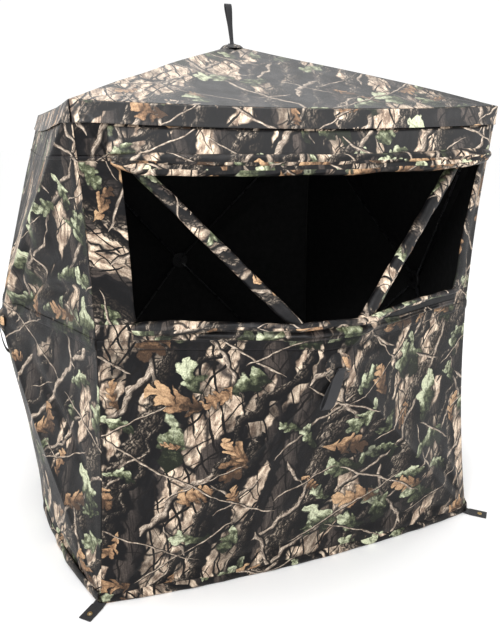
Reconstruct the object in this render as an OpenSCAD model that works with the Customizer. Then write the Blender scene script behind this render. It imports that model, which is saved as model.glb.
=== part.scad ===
// Pop up ground blind: a square hub tent with a pyramid roof. Each wall and the roof is a cloth
// panel held out by four poles that meet in a sprung-through hub, one hub per panel.
// The origin is at the middle of the footprint on the ground, the front faces -Y and +Z is up.

/* [Shelter] */
// Width and depth of the footprint, seam to seam
footprint = 1500; // [1200:10:1800]
// Height of the eave at the corners
eave_h = 1632; // [1350:1:1960]
// Height of the roof peak above the eave
roof_rise = 264; // [180:1:380]
// How far each wall stands out at its hub
wall_bulge = 245; // [160:1:340]
// How far the corner seams pull inward at mid height
corner_bow = 42; // [10:1:80]
// How far the front and back bottom edges bow outward between corners
hem_bow = 50; // [10:1:80]
// How far the bottom edges of the side walls bow outward
side_hem_bow = 130; // [10:1:150]
// How far the eave bows outward between corners
eave_bow = 12; // [0:1:30]
// How far the eave sags between corners
eave_sag = 18; // [0:1:40]
// Thickness of the cloth with its backing
cloth_t = 2; // [1:0.5:4]

/* [Front window] */
// Height of the window sill above the wall hubs
sill_rise = 142; // [120:1:240]
// Drop of the window head below the eave
head_drop = 162; // [140:1:240]
// Width of the window between its side strips
window_w = 1200; // [700:1:1220]
// Radius of the rolled upper cover
upper_roll_r = 38; // [20:1:50]
// Radius of the rolled sill cover
lower_roll_r = 24; // [15:1:40]

/* [Trim] */
// Height of the folded bottom hem
hem_h = 35; // [15:1:60]
// Thickness of the folded bottom hem
hem_t = 6; // [3:0.5:12]
// Width of the waist band
band_w = 35; // [20:1:60]
// Height of the middle of the waist band above the wall hubs
band_rise = 74; // [70:1:84]
// Height of the valance over the window cover's flap
valance_h = 77; // [60:1:90]
// Height of the eave tape
tape_h = 22; // [10:1:40]
// Thickness of the bands and tapes
tape_t = 1.5; // [1:0.5:3]
// Radius of the corner seam piping
piping_r = 4; // [2:0.5:8]

/* [Poles] */
// Radius of a pole rod
rod_r = 4.75; // [3.5:0.25:6]
// Radius of the ferrule at the hub end
ferrule_r = 7; // [6:0.5:10]
// Length of the ferrule's socket
ferrule_l = 60; // [30:1:100]
// Radius of the cap at the corner end
cap_r = 6; // [5:0.5:7]
// In-plane distance from a panel's corner to its pole end
corner_inset = 60; // [45:1:90]
// Distance of the pole ends behind the panel's plane
corner_depth = 28; // [27:1:40]
// Outer radius of the cloth sleeves on the front window's poles
sleeve_r = 28; // [20:1:32]
// Cloth thickness of the pole sleeves
sleeve_t = 2.5; // [1:0.5:5]

/* [Hubs] */
// Radius of a hub
hub_r = 46; // [42:1:60]
// Radius of the circle through the pole pins
pin_circle_r = 32; // [28:1:40]
// Radius of a pole pin
pin_r = 2; // [1.5:0.25:3]
// Thickness of a pole's flat tongue
tongue_t = 8; // [5:0.5:11]
// Height of a pole's flat tongue
tongue_h = 12; // [9:0.5:16]
// Distance from the pins' plane out to the cloth's peak
cloth_gap = 26; // [24:0.5:34]
// Radius of the hub bolt
bolt_r = 4; // [3:0.5:5]
// Radius of the outer clamp washer
washer_r = 26; // [23:1:34]

/* [Straps and stake tabs] */
// Width of the pull strap webbing
strap_w = 25; // [20:1:40]
// Thickness of the pull strap webbing
strap_t = 2; // [1:0.5:3]
// Length of the roof's pull strap loop
roof_strap_l = 172; // [100:1:220]
// Length of a wall's pull strap loop
wall_strap_l = 140; // [80:1:200]
// Widest part of a strap loop
strap_loop_w = 34; // [24:1:60]
// Width of a stake tab
tab_w = 45; // [30:1:60]
// Length of a stake tab
tab_l = 68; // [60:1:130]
// Thickness of the stake tab webbing
tab_t = 3; // [2:0.5:4]
// Radius of the hole in a stake tab's grommet
grommet_hole_r = 5; // [3:0.5:8]
// Width of the grommet's flange around its hole
grommet_flange = 4; // [3:0.5:8]

/* [Door zip] */
// Height of the lower end of the zip
zip_low = 70; // [40:1:200]
// Drop of the zip's upper end below the eave
zip_drop = 132; // [100:1:600]
// Width of the zip tape
zip_w = 14; // [8:1:30]

/* [Fits] */
// Radial running clearance of a tongue on its pin
pin_fit = 0.05; // [0.02:0.01:0.1]
// Radial clearance of a pin or a bolt in the hub
hub_fit = 0.02; // [0.01:0.01:0.05]
// Side clearance of a tongue in its slot
slot_fit = 0.5; // [0.3:0.1:1]
// Gap between a trim strip and the cloth that it is sewn to
trim_fit = 1; // [0.8:0.1:2]
// Clearance of the strap's eye round its bar
strap_fit = 0.6; // [0.3:0.1:1.5]

/* [Hidden] */
WALLS = ["front", "right", "back", "left"];
WALL_ENDS = ["top_right", "top_left", "low_left", "low_right"];
ROOF_ENDS = ["back_right", "back_left", "front_left", "front_right"];

half = footprint / 2;
hub_h = eave_h / 2;
diag = sqrt(2);
seam_in = corner_bow * diag;
seam_r = (hub_h * hub_h + seam_in * seam_in) / (2 * seam_in);
seam_far = (half - corner_bow) * diag + seam_r;
hole_half = 15;

// Cloth surface. u runs along the panel and v across it, each from -1 to 1. Every panel is the
// taut cone from its hub's peak to its bowed edge.
function bow(z) = (sqrt(seam_r * seam_r - pow(z - hub_h, 2)) - (seam_r - seam_in)) / diag;
function level(z) = (z - hub_h) / hub_h;
function wall_edge(u, v) =
    abs(u) >= abs(v)
    ? let (z = hub_h * (1 + v), b = bow(z)) [u * (half - b), half - b, z]
    : let (k = 1 - u * u)
        v > 0 ? [u * half, half + eave_bow * k, eave_h - eave_sag * k] : [u * half, half + $hem_out * k, 0];
function roof_edge(u, v) =
    let (k = abs(u) >= abs(v) ? 1 - v * v : 1 - u * u, grow = half + eave_bow * k)
    abs(u) >= abs(v) ? [u * grow, v * half, eave_h - eave_sag * k] : [u * half, v * grow, eave_h - eave_sag * k];
function cone(u, v, peak, edge) = let (r = max(abs(u), abs(v))) peak + r * (edge - peak);
function unit(u, v) = let (r = max(abs(u), abs(v), 1e-9)) [u / r, v / r];
function wall_at(u, v) =
    let (e = unit(u, v), p = cone(u, v, [0, half + wall_bulge, hub_h], wall_edge(e[0], e[1]))) [p[0], -p[1], p[2]];
function roof_at(u, v) =
    let (e = unit(u, v)) cone(u, v, [0, 0, eave_h + roof_rise], roof_edge(e[0], e[1]));

// Directions from the outer skin to the inner one, mitred where two panels meet
function rim(t) = abs(t) > 0.999 ? sign(t) : 0;
function wall_in(u, v) = [-rim(u), 1, v > 0.999 ? -1 : 0];
function roof_in(u, v) = [-rim(u), -rim(v), -1];

function sort(list) =
    len(list) < 2 ? list
    : let (p = list[0]) concat(
        sort([for (x = list) if (x < p) x]), [p], sort([for (i = [1:1:len(list) - 1]) if (list[i] > p) list[i]]));
function mids(list) = [for (i = [0:len(list) - 2]) (list[i] + list[i + 1]) / 2];
function both_ways(list) = concat([for (i = [len(list) - 1:-1:0]) -list[i]], list);

sill_h = hub_h + sill_rise;
head_h = eave_h - head_drop;
band_h = hub_h + band_rise;
sill = level(sill_h);
head = level(head_h);
jamb = window_w / footprint;
hole = hole_half / half;
marks = sort([hole, sill, head, jamb, 1]);
grid = both_ways(sort(concat(marks, mids(marks), mids(concat([sill], mids([sill, head]), [head])))));

// Closed sheet between an outer and an inner skin over the grid cells that `keep` marks
module sheet(us, vs, outer, inner, keep) {
    nu = len(us);
    nv = len(vs);
    far = nu * nv;
    function id(i, j) = i * nv + j;
    function on(i, j) = i >= 0 && j >= 0 && i < nu - 1 && j < nv - 1 && keep[i][j];
    function side(a, b) = [[a, b, b + far], [a, b + far, a + far]];
    faces = [for (i = [0:nu - 2], j = [0:nv - 2]) if (on(i, j))
        let (a = id(i, j), b = id(i + 1, j), c = id(i + 1, j + 1), d = id(i, j + 1),
            rising = (us[i] + us[i + 1]) * (vs[j] + vs[j + 1]) > 0,
            top = rising ? [[a, d, c], [a, c, b]] : [[a, d, b], [b, d, c]])
        each concat(
            top,
            [for (f = top) [f[0] + far, f[2] + far, f[1] + far]],
            on(i, j - 1) ? [] : side(a, b),
            on(i + 1, j) ? [] : side(b, c),
            on(i, j + 1) ? [] : side(c, d),
            on(i - 1, j) ? [] : side(d, a)
        )];
    polyhedron([for (p = outer) p, for (p = inner) p], faces, convexity = 8);
}

module wall_cloth(us, vs, keep) {
    pts = [for (u = us, v = vs) wall_at(u, v)];
    in_pts = [for (u = us, v = vs) wall_at(u, v) + cloth_t * wall_in(u, v)];
    sheet(us, vs, pts, in_pts, keep);
}

function mid(list, i) = (list[i] + list[i + 1]) / 2;
function cells(us, vs, u0, u1, v0, v1, hole_too) = [for (i = [0:len(us) - 2]) [for (j = [0:len(vs) - 2])
    let (u = mid(us, i), v = mid(vs, j))
    u > u0 && u < u1 && v > v0 && v < v1 && (hole_too || abs(u) > hole || abs(v) > hole)]];

module whole_wall() wall_cloth(grid, grid, cells(grid, grid, -1, 1, -1, 1, false));
$hem_out = hem_bow;
module on_wall(k) {
    $hem_out = k % 2 == 0 ? hem_bow : side_hem_bow;
    rotate([0, 0, 90 * k]) children();
}

module front_lower_panel() color("darkolivegreen") wall_cloth(grid, grid, cells(grid, grid, -1, 1, -1, sill, false));
module front_side_panels() color("olivedrab") {
    wall_cloth(grid, grid, cells(grid, grid, -1, -jamb, sill, head, false));
    wall_cloth(grid, grid, cells(grid, grid, jamb, 1, sill, head, false));
}
module front_top_panel() color("darkolivegreen") wall_cloth(grid, grid, cells(grid, grid, -1, 1, head, 1, false));
module plain_wall(k) color("darkolivegreen") on_wall(k) whole_wall();
module roof_panel() color("olive") {
    pts = [for (u = grid, v = grid) roof_at(u, v)];
    in_pts = [for (u = grid, v = grid) roof_at(u, v) + cloth_t * roof_in(u, v)];
    sheet(grid, grid, pts, in_pts, cells(grid, grid, -1, 1, -1, 1, false));
}

// Strip that lies on a wall between two heights, mitred at the corners. The cloth creases along
// its diagonals, so each row's crease points are columns of the strip too.
module wall_strip(low, high, gap, t, us = grid, step = 2) {
    vs = [for (i = [0:step]) level(low + (high - low) * i / step)];
    cols = sort(concat(us, [for (v = vs, s = [-1, 1]) if (abs(v) < max(us)) s * v]));
    function out_by(u, v, d) = wall_at(u, v) + d * [rim(u), -1, 0];
    outer = [for (u = cols, v = vs) out_by(u, v, gap + t)];
    inner = [for (u = cols, v = vs) out_by(u, v, gap)];
    sheet(cols, vs, outer, inner, [for (u = cols) [for (v = vs) true]]);
}

module eave_tape() color("dimgray") for (k = [0:3]) on_wall(k)
    wall_strip(eave_h - tape_h, eave_h, trim_fit, tape_t, step = 1);
module bottom_hem() color("darkkhaki") for (k = [0:3]) on_wall(k) wall_strip(0, hem_h, trim_fit, hem_t, step = 1);

// Round sweep along a path
module tube(path, r, sides) {
    n = len(path);
    function dir(i) = let (d = path[min(i + 1, n - 1)] - path[max(i - 1, 0)]) d / norm(d);
    function across(d) = let (s = abs(d[2]) > 0.9 ? [1, 0, 0] : [0, 0, 1], c = cross(d, s)) c / norm(c);
    points = [for (i = [0:n - 1], k = [0:sides - 1])
        let (d = dir(i), a = across(d), b = cross(a, d), t = 360 * k / sides)
        path[i] + r * (cos(t) * a + sin(t) * b)];
    walls = [for (i = [0:n - 2], k = [0:sides - 1])
        let (a = i * sides + k, b = i * sides + (k + 1) % sides) each [[a, b, b + sides], [a, b + sides, a + sides]]];
    ends = [[for (k = [sides - 1:-1:0]) k], [for (k = [0:sides - 1]) (n - 1) * sides + k]];
    polyhedron(points, concat(walls, ends), convexity = 4);
}

function seam_at(z, out) =
    let (r = seam_r - out, dz = z - hub_h, d = seam_far - sqrt(r * r - dz * dz)) [d / diag, d / diag, z];
module corner_piping() color("black") for (k = [0:3]) on_wall(k)
    tube([for (i = [0:12]) seam_at(boot_reach + 4 + (eave_h - 2 * boot_reach - 8) * i / 12,
        -(cloth_t * 2 + piping_r + trim_fit))], piping_r, 8);

// Rolled window covers, with the flap that each hangs from
roll_us = [for (i = [-10:10]) jamb * 1.02 * i / 10];
flap_us = [for (i = [-10:10]) jamb * i / 10];
module cover_roll(z, r) tube([for (u = roll_us) wall_at(u, level(z)) - [0, r + trim_fit + cloth_t, 0]], r, 12);
module upper_window_cover() color("darkolivegreen") {
    cover_roll(head_h - upper_roll_r / 2 - 8, upper_roll_r);
    wall_strip(head_h + upper_roll_r, eave_h - valance_h, trim_fit, tape_t, us = flap_us);
}
module lower_window_cover() color("darkolivegreen") {
    cover_roll(sill_h - lower_roll_r / 2, lower_roll_r);
    wall_strip(band_h + band_w / 2 + 4, sill_h - lower_roll_r * 2, trim_fit, tape_t * 2, us = flap_us);
}

// Toggles on short webbing inside the window head, which hold the rolled cover up
tie_h = 40;
toggle_r = 4;
module cover_ties() color("black") for (u = [-0.55, 0, 0.55])
    translate(wall_at(u, level(head_h + tie_h + 12)) + [0, cloth_t + trim_fit, 0]) {
        translate([-6, 0, -tie_h]) cube([12, tape_t, tie_h]);
        translate([-18, tape_t / 2, -tie_h]) rotate([0, 90, 0]) cylinder(r = toggle_r, h = 36, $fn = 24);
    }

// Moulded corner boots that take the pole ends
boot_t = 3;
boot_in = 12;
boot_reach = corner_inset + 14;
boot = boot_reach - boot_in;
module boot_shell() difference() {
    cube(boot);
    translate([boot_t, boot_t, boot_t]) cube(boot);
    translate([boot * 0.72, boot * 0.72, -1]) rotate([0, 0, 45]) cube([boot, 2 * boot, 2 * boot_t + 2], center = true);
}
module eave_corner_boots() color("black") for (k = [0:3]) on_wall(k)
    translate([half - boot_in, half - boot_in, eave_h - boot_in])
        mirror([0, 0, 1]) rotate([0, 0, 180]) boot_shell();
module ground_corner_boots() color("black") for (k = [0:3]) on_wall(k)
    translate([half - boot_in, half - boot_in, boot_in]) rotate([0, 0, 180]) boot_shell();

// Hubs. Each is drawn with its pins' plane at z = 0 and the cloth's peak on +z.
wall_angle = atan2(hub_h - corner_inset, half - corner_inset);
wall_run = norm([hub_h - corner_inset, half - corner_inset]) - pin_circle_r;
roof_run = norm([half - corner_inset, half - corner_inset]) - pin_circle_r;
wall_pin_out = half + wall_bulge - cloth_gap;
roof_pin_h = eave_h + roof_rise - cloth_gap;
wall_drop = wall_bulge - cloth_gap + corner_depth;
roof_drop = roof_rise - cloth_gap + corner_depth;
function spokes(angle) = [angle, 180 - angle, 180 + angle, -angle];

hub_low = -11;
collar_r = 12;
collar_top = cloth_gap - 4;
slot_w = tongue_t + 2 * slot_fit;
slot_root = pin_circle_r - tongue_h / 2 - 1 - 2;
nut_h = 6.5;
nut_r = 7;
washer_t = 2.5;
bar_r = 2;
bar_half = strap_w / 2 + 3;
bar_z = collar_top + washer_t + 9;

module hub(angle) color("dimgray") difference() {
    rotate_extrude($fn = 64) polygon([
        [bolt_r + hub_fit, hub_low], [hub_r - 3, hub_low], [hub_r, hub_low + 3], [hub_r, 5], [hub_r - 6, 7],
        [collar_r + 4, cloth_gap - 12], [collar_r, cloth_gap - 9], [collar_r, collar_top],
        [bolt_r + hub_fit, collar_top]]);
    for (a = spokes(angle)) rotate([0, 0, a]) {
        translate([slot_root, -slot_w / 2, hub_low - 1]) cube([hub_r, slot_w, 40]);
        translate([pin_circle_r, 0, 0]) rotate([90, 0, 0])
            cylinder(r = pin_r + hub_fit, h = 2 * pin_half + 2, center = true, $fn = 32);
    }
    for (a = [0:90:270]) rotate([0, 0, a])
        translate([pin_circle_r - 3, 0, hub_low - 1]) cylinder(r = 4, h = 5, $fn = 32);
}
pin_half = tongue_t / 2 + 7;

module hub_fasteners(angle) color("silver") {
    for (a = spokes(angle)) rotate([0, 0, a]) translate([pin_circle_r, 0, 0]) rotate([90, 0, 0])
        cylinder(r = pin_r, h = 2 * pin_half, center = true, $fn = 32);
    // Through bolt with its low head, nut and washer
    translate([0, 0, hub_low - nut_h - 3]) cylinder(r = bolt_r, h = collar_top + washer_t - hub_low + nut_h + 4, $fn = 32);
    translate([0, 0, hub_low - 2]) difference() {
        cylinder(r = 11, h = 2, $fn = 48);
        translate([0, 0, -1]) cylinder(r = bolt_r, h = 4, $fn = 32);
    }
    translate([0, 0, hub_low - 2 - nut_h]) difference() {
        cylinder(r = nut_r, h = nut_h, $fn = 6);
        translate([0, 0, -1]) cylinder(r = bolt_r, h = nut_h + 2, $fn = 32);
    }
    // Outer washer and the staple that the pull strap hangs on
    translate([0, 0, collar_top]) difference() {
        cylinder(r = washer_r, h = washer_t, $fn = 64);
        translate([0, 0, -1]) cylinder(r = bolt_r, h = washer_t + 2, $fn = 32);
    }
    for (s = [-1, 1]) translate([s * bar_half, 0, collar_top + washer_t])
        cylinder(r = bar_r, h = bar_z - collar_top - washer_t, $fn = 24);
    for (s = [-1, 1]) translate([s * bar_half, 0, bar_z]) sphere(r = bar_r, $fn = 24);
    translate([-bar_half, 0, bar_z]) rotate([0, 90, 0]) cylinder(r = bar_r, h = 2 * bar_half, $fn = 24);
}

// Pull strap: a loop of webbing with an eye round the staple's bar, pointing along +y
module strap(length) color("black") translate([-strap_w / 2, 0, bar_z]) rotate([90, 0, 90])
    linear_extrude(strap_w) {
        eye = bar_r + strap_fit;
        difference() {
            hull() {
                circle(r = eye + strap_t, $fn = 24);
                translate([length - strap_loop_w / 2 - eye, 0]) circle(d = strap_loop_w, $fn = 32);
            }
            hull() {
                translate([length * 0.3, 0]) circle(r = 1, $fn = 16);
                translate([length - strap_loop_w / 2 - eye, 0]) circle(d = strap_loop_w - 2 * strap_t, $fn = 32);
            }
            circle(r = eye, $fn = 24);
        }
    }

// Poles, each drawn along +x from its hub pin
module pole(length) color("darkslategray") difference() {
    union() {
        rotate([90, 0, 0]) cylinder(r = eye_r, h = tongue_t, center = true, $fn = 48);
        translate([0, -tongue_t / 2, -tongue_h / 2]) cube([ferrule_start + 4, tongue_t, tongue_h]);
        rotate([0, 90, 0]) rotate_extrude($fn = 40) polygon([
            [0, ferrule_start], [ferrule_r + 1, ferrule_start], [ferrule_r + 1, ferrule_start + 6],
            [ferrule_r, ferrule_start + 7], [ferrule_r, ferrule_start + ferrule_l - 2],
            [ferrule_r - 1, ferrule_start + ferrule_l], [rod_r, ferrule_start + ferrule_l],
            [rod_r, length - cap_l], [cap_r - 0.5, length - cap_l], [cap_r, length - cap_l + 1],
            [cap_r, length - 4], [cap_r - 2.5, length], [0, length]]);
    }
    rotate([90, 0, 0]) cylinder(r = pin_r + pin_fit, h = tongue_t + 2, center = true, $fn = 32);
}
eye_r = tongue_h / 2 + 1;
ferrule_start = hub_r - pin_circle_r + 6;
cap_l = 34;

module sleeve(length) color("olive") translate([0.23 * length, 0, 0]) rotate([0, 90, 0]) difference() {
    cylinder(r = sleeve_r, h = 0.5 * length, $fn = 40);
    translate([0, 0, -1]) cylinder(r = sleeve_r - sleeve_t, h = 0.5 * length + 2, $fn = 40);
}

module at_wall_hub(k) on_wall(k) translate([0, -wall_pin_out, hub_h]) rotate([90, 0, 0]) children();
module at_roof_hub() translate([0, 0, roof_pin_h]) children();
module on_spoke(angle, run, drop) rotate([0, 0, angle]) translate([pin_circle_r, 0, 0])
    rotate([0, atan2(drop, run), 0]) children();
module wall_spoke(k, i) at_wall_hub(k) on_spoke(spokes(wall_angle)[i], wall_run, wall_drop) children();
module wall_pole(k, i) wall_spoke(k, i) pole(norm([wall_run, wall_drop]));
module roof_pole(i) at_roof_hub() on_spoke(spokes(45)[i], roof_run, roof_drop) pole(norm([roof_run, roof_drop]));
module front_sleeve(i) wall_spoke(0, i) sleeve(norm([wall_run, wall_drop]));

// Webbing stake tab with its brass grommet, drawn along +x from its seam, lying on the ground
grommet_in = 27;
tab_lift = 1;
module stake_tab(i) rotate([0, 0, 45 + 90 * i]) translate([half * diag + hem_t * diag + 6, 0, 0]) {
    color("black") difference() {
        union() {
            translate([0, -tab_w / 2, tab_lift]) cube([tab_l, tab_w, tab_t]);
            translate([0, 0, tab_lift + tab_t / 2]) rotate([90, 0, 0])
                cylinder(r = tab_t / 2, h = tab_w, center = true, $fn = 24);
        }
        translate([tab_l - grommet_in, 0, 0]) cylinder(r = grommet_hole_r + 1, h = tab_t + 3, $fn = 48);
    }
    color("goldenrod") translate([tab_l - grommet_in, 0, 0]) rotate_extrude($fn = 48) polygon([
        [grommet_hole_r, 0], [grommet_hole_r + grommet_flange, 0], [grommet_hole_r + grommet_flange, tab_lift],
        [grommet_hole_r + 1, tab_lift], [grommet_hole_r + 1, tab_lift + tab_t],
        [grommet_hole_r + grommet_flange, tab_lift + tab_t],
        [grommet_hole_r + grommet_flange - 0.5, tab_lift * 2 + tab_t], [grommet_hole_r, tab_lift * 2 + tab_t]]);
}

// Door zip up the back right corner
zip_high = eave_h - zip_drop;
module door_zip_tape() color("black")
    tube([for (i = [0:14]) seam_at(zip_low + (zip_high - zip_low) * i / 14, zip_w / 2 + 1)], zip_w / 2, 8);
slider_h = 26;
module door_zip_slider() color("silver") {
    tube([for (i = [0, 1]) seam_at(zip_low + 6 + slider_h * i, zip_w + 1 + 4 + trim_fit + 0.5)], 4, 12);
    tube([for (i = [0, 1]) seam_at(zip_low - 34 + 36 * i, zip_w + 1 + 4 + trim_fit + 0.5)], 2.5, 8);
}

front_lower_panel();
front_side_panels();
front_top_panel();
for (k = [1:3]) plain_wall(k);
roof_panel();
eave_tape();
bottom_hem();
corner_piping();
upper_window_cover();
lower_window_cover();
cover_ties();
eave_corner_boots();
ground_corner_boots();
door_zip_tape();
door_zip_slider();
for (k = [0:3]) {
    at_wall_hub(k) hub(wall_angle);
    at_wall_hub(k) hub_fasteners(wall_angle);
    at_wall_hub(k) rotate([0, 0, 180]) strap(wall_strap_l);
    for (i = [0:3])
        wall_pole(k, i);
}
at_roof_hub() hub(45);  // roof_hub
at_roof_hub() hub_fasteners(45);  // roof_hub_fasteners
at_roof_hub() translate([0, 0, bar_z]) rotate([90, 0, 0]) translate([0, 0, -bar_z]) strap(roof_strap_l);  // roof_pull_strap
for (i = [0:3]) {
    roof_pole(i);
    stake_tab(i);
}
front_sleeve(0);  // front_sleeve_right
front_sleeve(1);  // front_sleeve_left
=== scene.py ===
import bpy
import math
import numpy as np
from mathutils import Matrix, Vector


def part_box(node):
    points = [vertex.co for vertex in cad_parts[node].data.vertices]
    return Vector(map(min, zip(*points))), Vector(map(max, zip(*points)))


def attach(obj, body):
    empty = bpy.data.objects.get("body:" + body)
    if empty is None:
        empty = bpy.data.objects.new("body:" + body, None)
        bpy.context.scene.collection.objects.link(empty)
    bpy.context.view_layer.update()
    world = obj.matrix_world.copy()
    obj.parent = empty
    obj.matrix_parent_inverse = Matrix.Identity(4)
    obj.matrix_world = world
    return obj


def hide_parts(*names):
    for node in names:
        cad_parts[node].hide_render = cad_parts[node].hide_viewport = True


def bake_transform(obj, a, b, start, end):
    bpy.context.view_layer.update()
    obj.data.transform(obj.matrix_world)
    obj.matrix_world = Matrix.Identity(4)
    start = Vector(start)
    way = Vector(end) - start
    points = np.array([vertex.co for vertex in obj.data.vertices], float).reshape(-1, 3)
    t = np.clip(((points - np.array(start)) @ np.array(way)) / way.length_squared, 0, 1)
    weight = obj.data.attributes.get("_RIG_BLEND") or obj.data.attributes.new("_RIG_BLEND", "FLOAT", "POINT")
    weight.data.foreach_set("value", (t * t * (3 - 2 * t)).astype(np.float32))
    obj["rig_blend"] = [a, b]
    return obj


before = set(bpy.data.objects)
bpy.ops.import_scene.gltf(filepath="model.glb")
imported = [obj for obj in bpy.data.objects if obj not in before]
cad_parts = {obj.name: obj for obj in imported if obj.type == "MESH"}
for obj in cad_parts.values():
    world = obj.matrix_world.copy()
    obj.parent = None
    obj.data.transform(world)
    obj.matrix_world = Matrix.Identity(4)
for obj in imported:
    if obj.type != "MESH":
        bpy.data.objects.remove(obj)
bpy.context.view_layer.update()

bpy.ops.object.select_all(action="DESELECT")
print("frame loaded")

# sizes in metres, the main ones read from the frame
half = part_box("back_wall")[1][0]
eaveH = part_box("back_wall")[1][2]
hubH = eaveH / 2
shelter = {
    "bulge": 0.245, "roofRise": 0.264, "cornerBow": 0.042, "hemBow": 0.050, "sideHemBow": 0.130,
    "eaveBow": 0.012, "eaveSag": 0.018, "poleRidge": 0.008, "facetSag": 0.010, "clothT": 0.0016,
    "blunt": 0.005, "steps": 150, "printStep": 1.7,
}
window = {"sill": 0.958, "head": 1.470, "jamb": 0.815}  # two heights, and a share of the half width
wallPeak = half + shelter["bulge"]
roofPeak = eaveH + shelter["roofRise"]
wallNames = ["front", "right", "back", "left"]
panelNames = wallNames + ["roof"]

# camera and light
camera = {
    "place": (-0.942, -2.666, 1.528), "yaw": 20.93, "pitch": -12.65, "roll": -0.16, "lens": 36.95,
    "shiftY": -0.0513,
}
camData = bpy.data.cameras.new("camera")
camData.lens = camera["lens"]
camData.shift_y = camera["shiftY"]
camObj = bpy.data.objects.new("camera", camData)
camObj.location = camera["place"]
camObj.rotation_euler = (
    Matrix.Rotation(math.radians(-camera["yaw"]), 3, "Z")
    @ Matrix.Rotation(math.radians(90 + camera["pitch"]), 3, "X")
    @ Matrix.Rotation(math.radians(camera["roll"]), 3, "Z")
).to_euler()
bpy.context.collection.objects.link(camObj)
bpy.context.scene.camera = camObj

lamps = {
    # place, aim, size of the disc, power
    "keyLight": ((-3.2, -4.2, 4.6), (0, 0, 0.9), 2.2, 200),
    "fillLight": ((3.8, -3.6, 2.6), (0, 0, 0.8), 3.2, 25),
    "topLight": ((0.2, 0.6, 5.0), (0, 0, 1.5), 4.0, 95),
}
worldGlow = 1.05
for name, (place, aim, size, power) in lamps.items():
    lamp = bpy.data.lights.new(name, "AREA")
    lamp.shape = "DISK"
    lamp.size = size
    lamp.energy = power
    lampObj = bpy.data.objects.new(name, lamp)
    lampObj.location = place
    lampObj.rotation_euler = (Vector(aim) - Vector(place)).to_track_quat("-Z", "Y").to_euler()
    bpy.context.collection.objects.link(lampObj)
world = bpy.data.worlds.new("studio")
bpy.context.scene.world = world
world.use_nodes = True
backdrop = world.node_tree.nodes["Background"].inputs
backdrop["Color"].default_value = (1, 1, 1, 1)
backdrop["Strength"].default_value = worldGlow
bpy.context.scene.view_settings.view_transform = "Standard"
print("camera and lights set")


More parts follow.
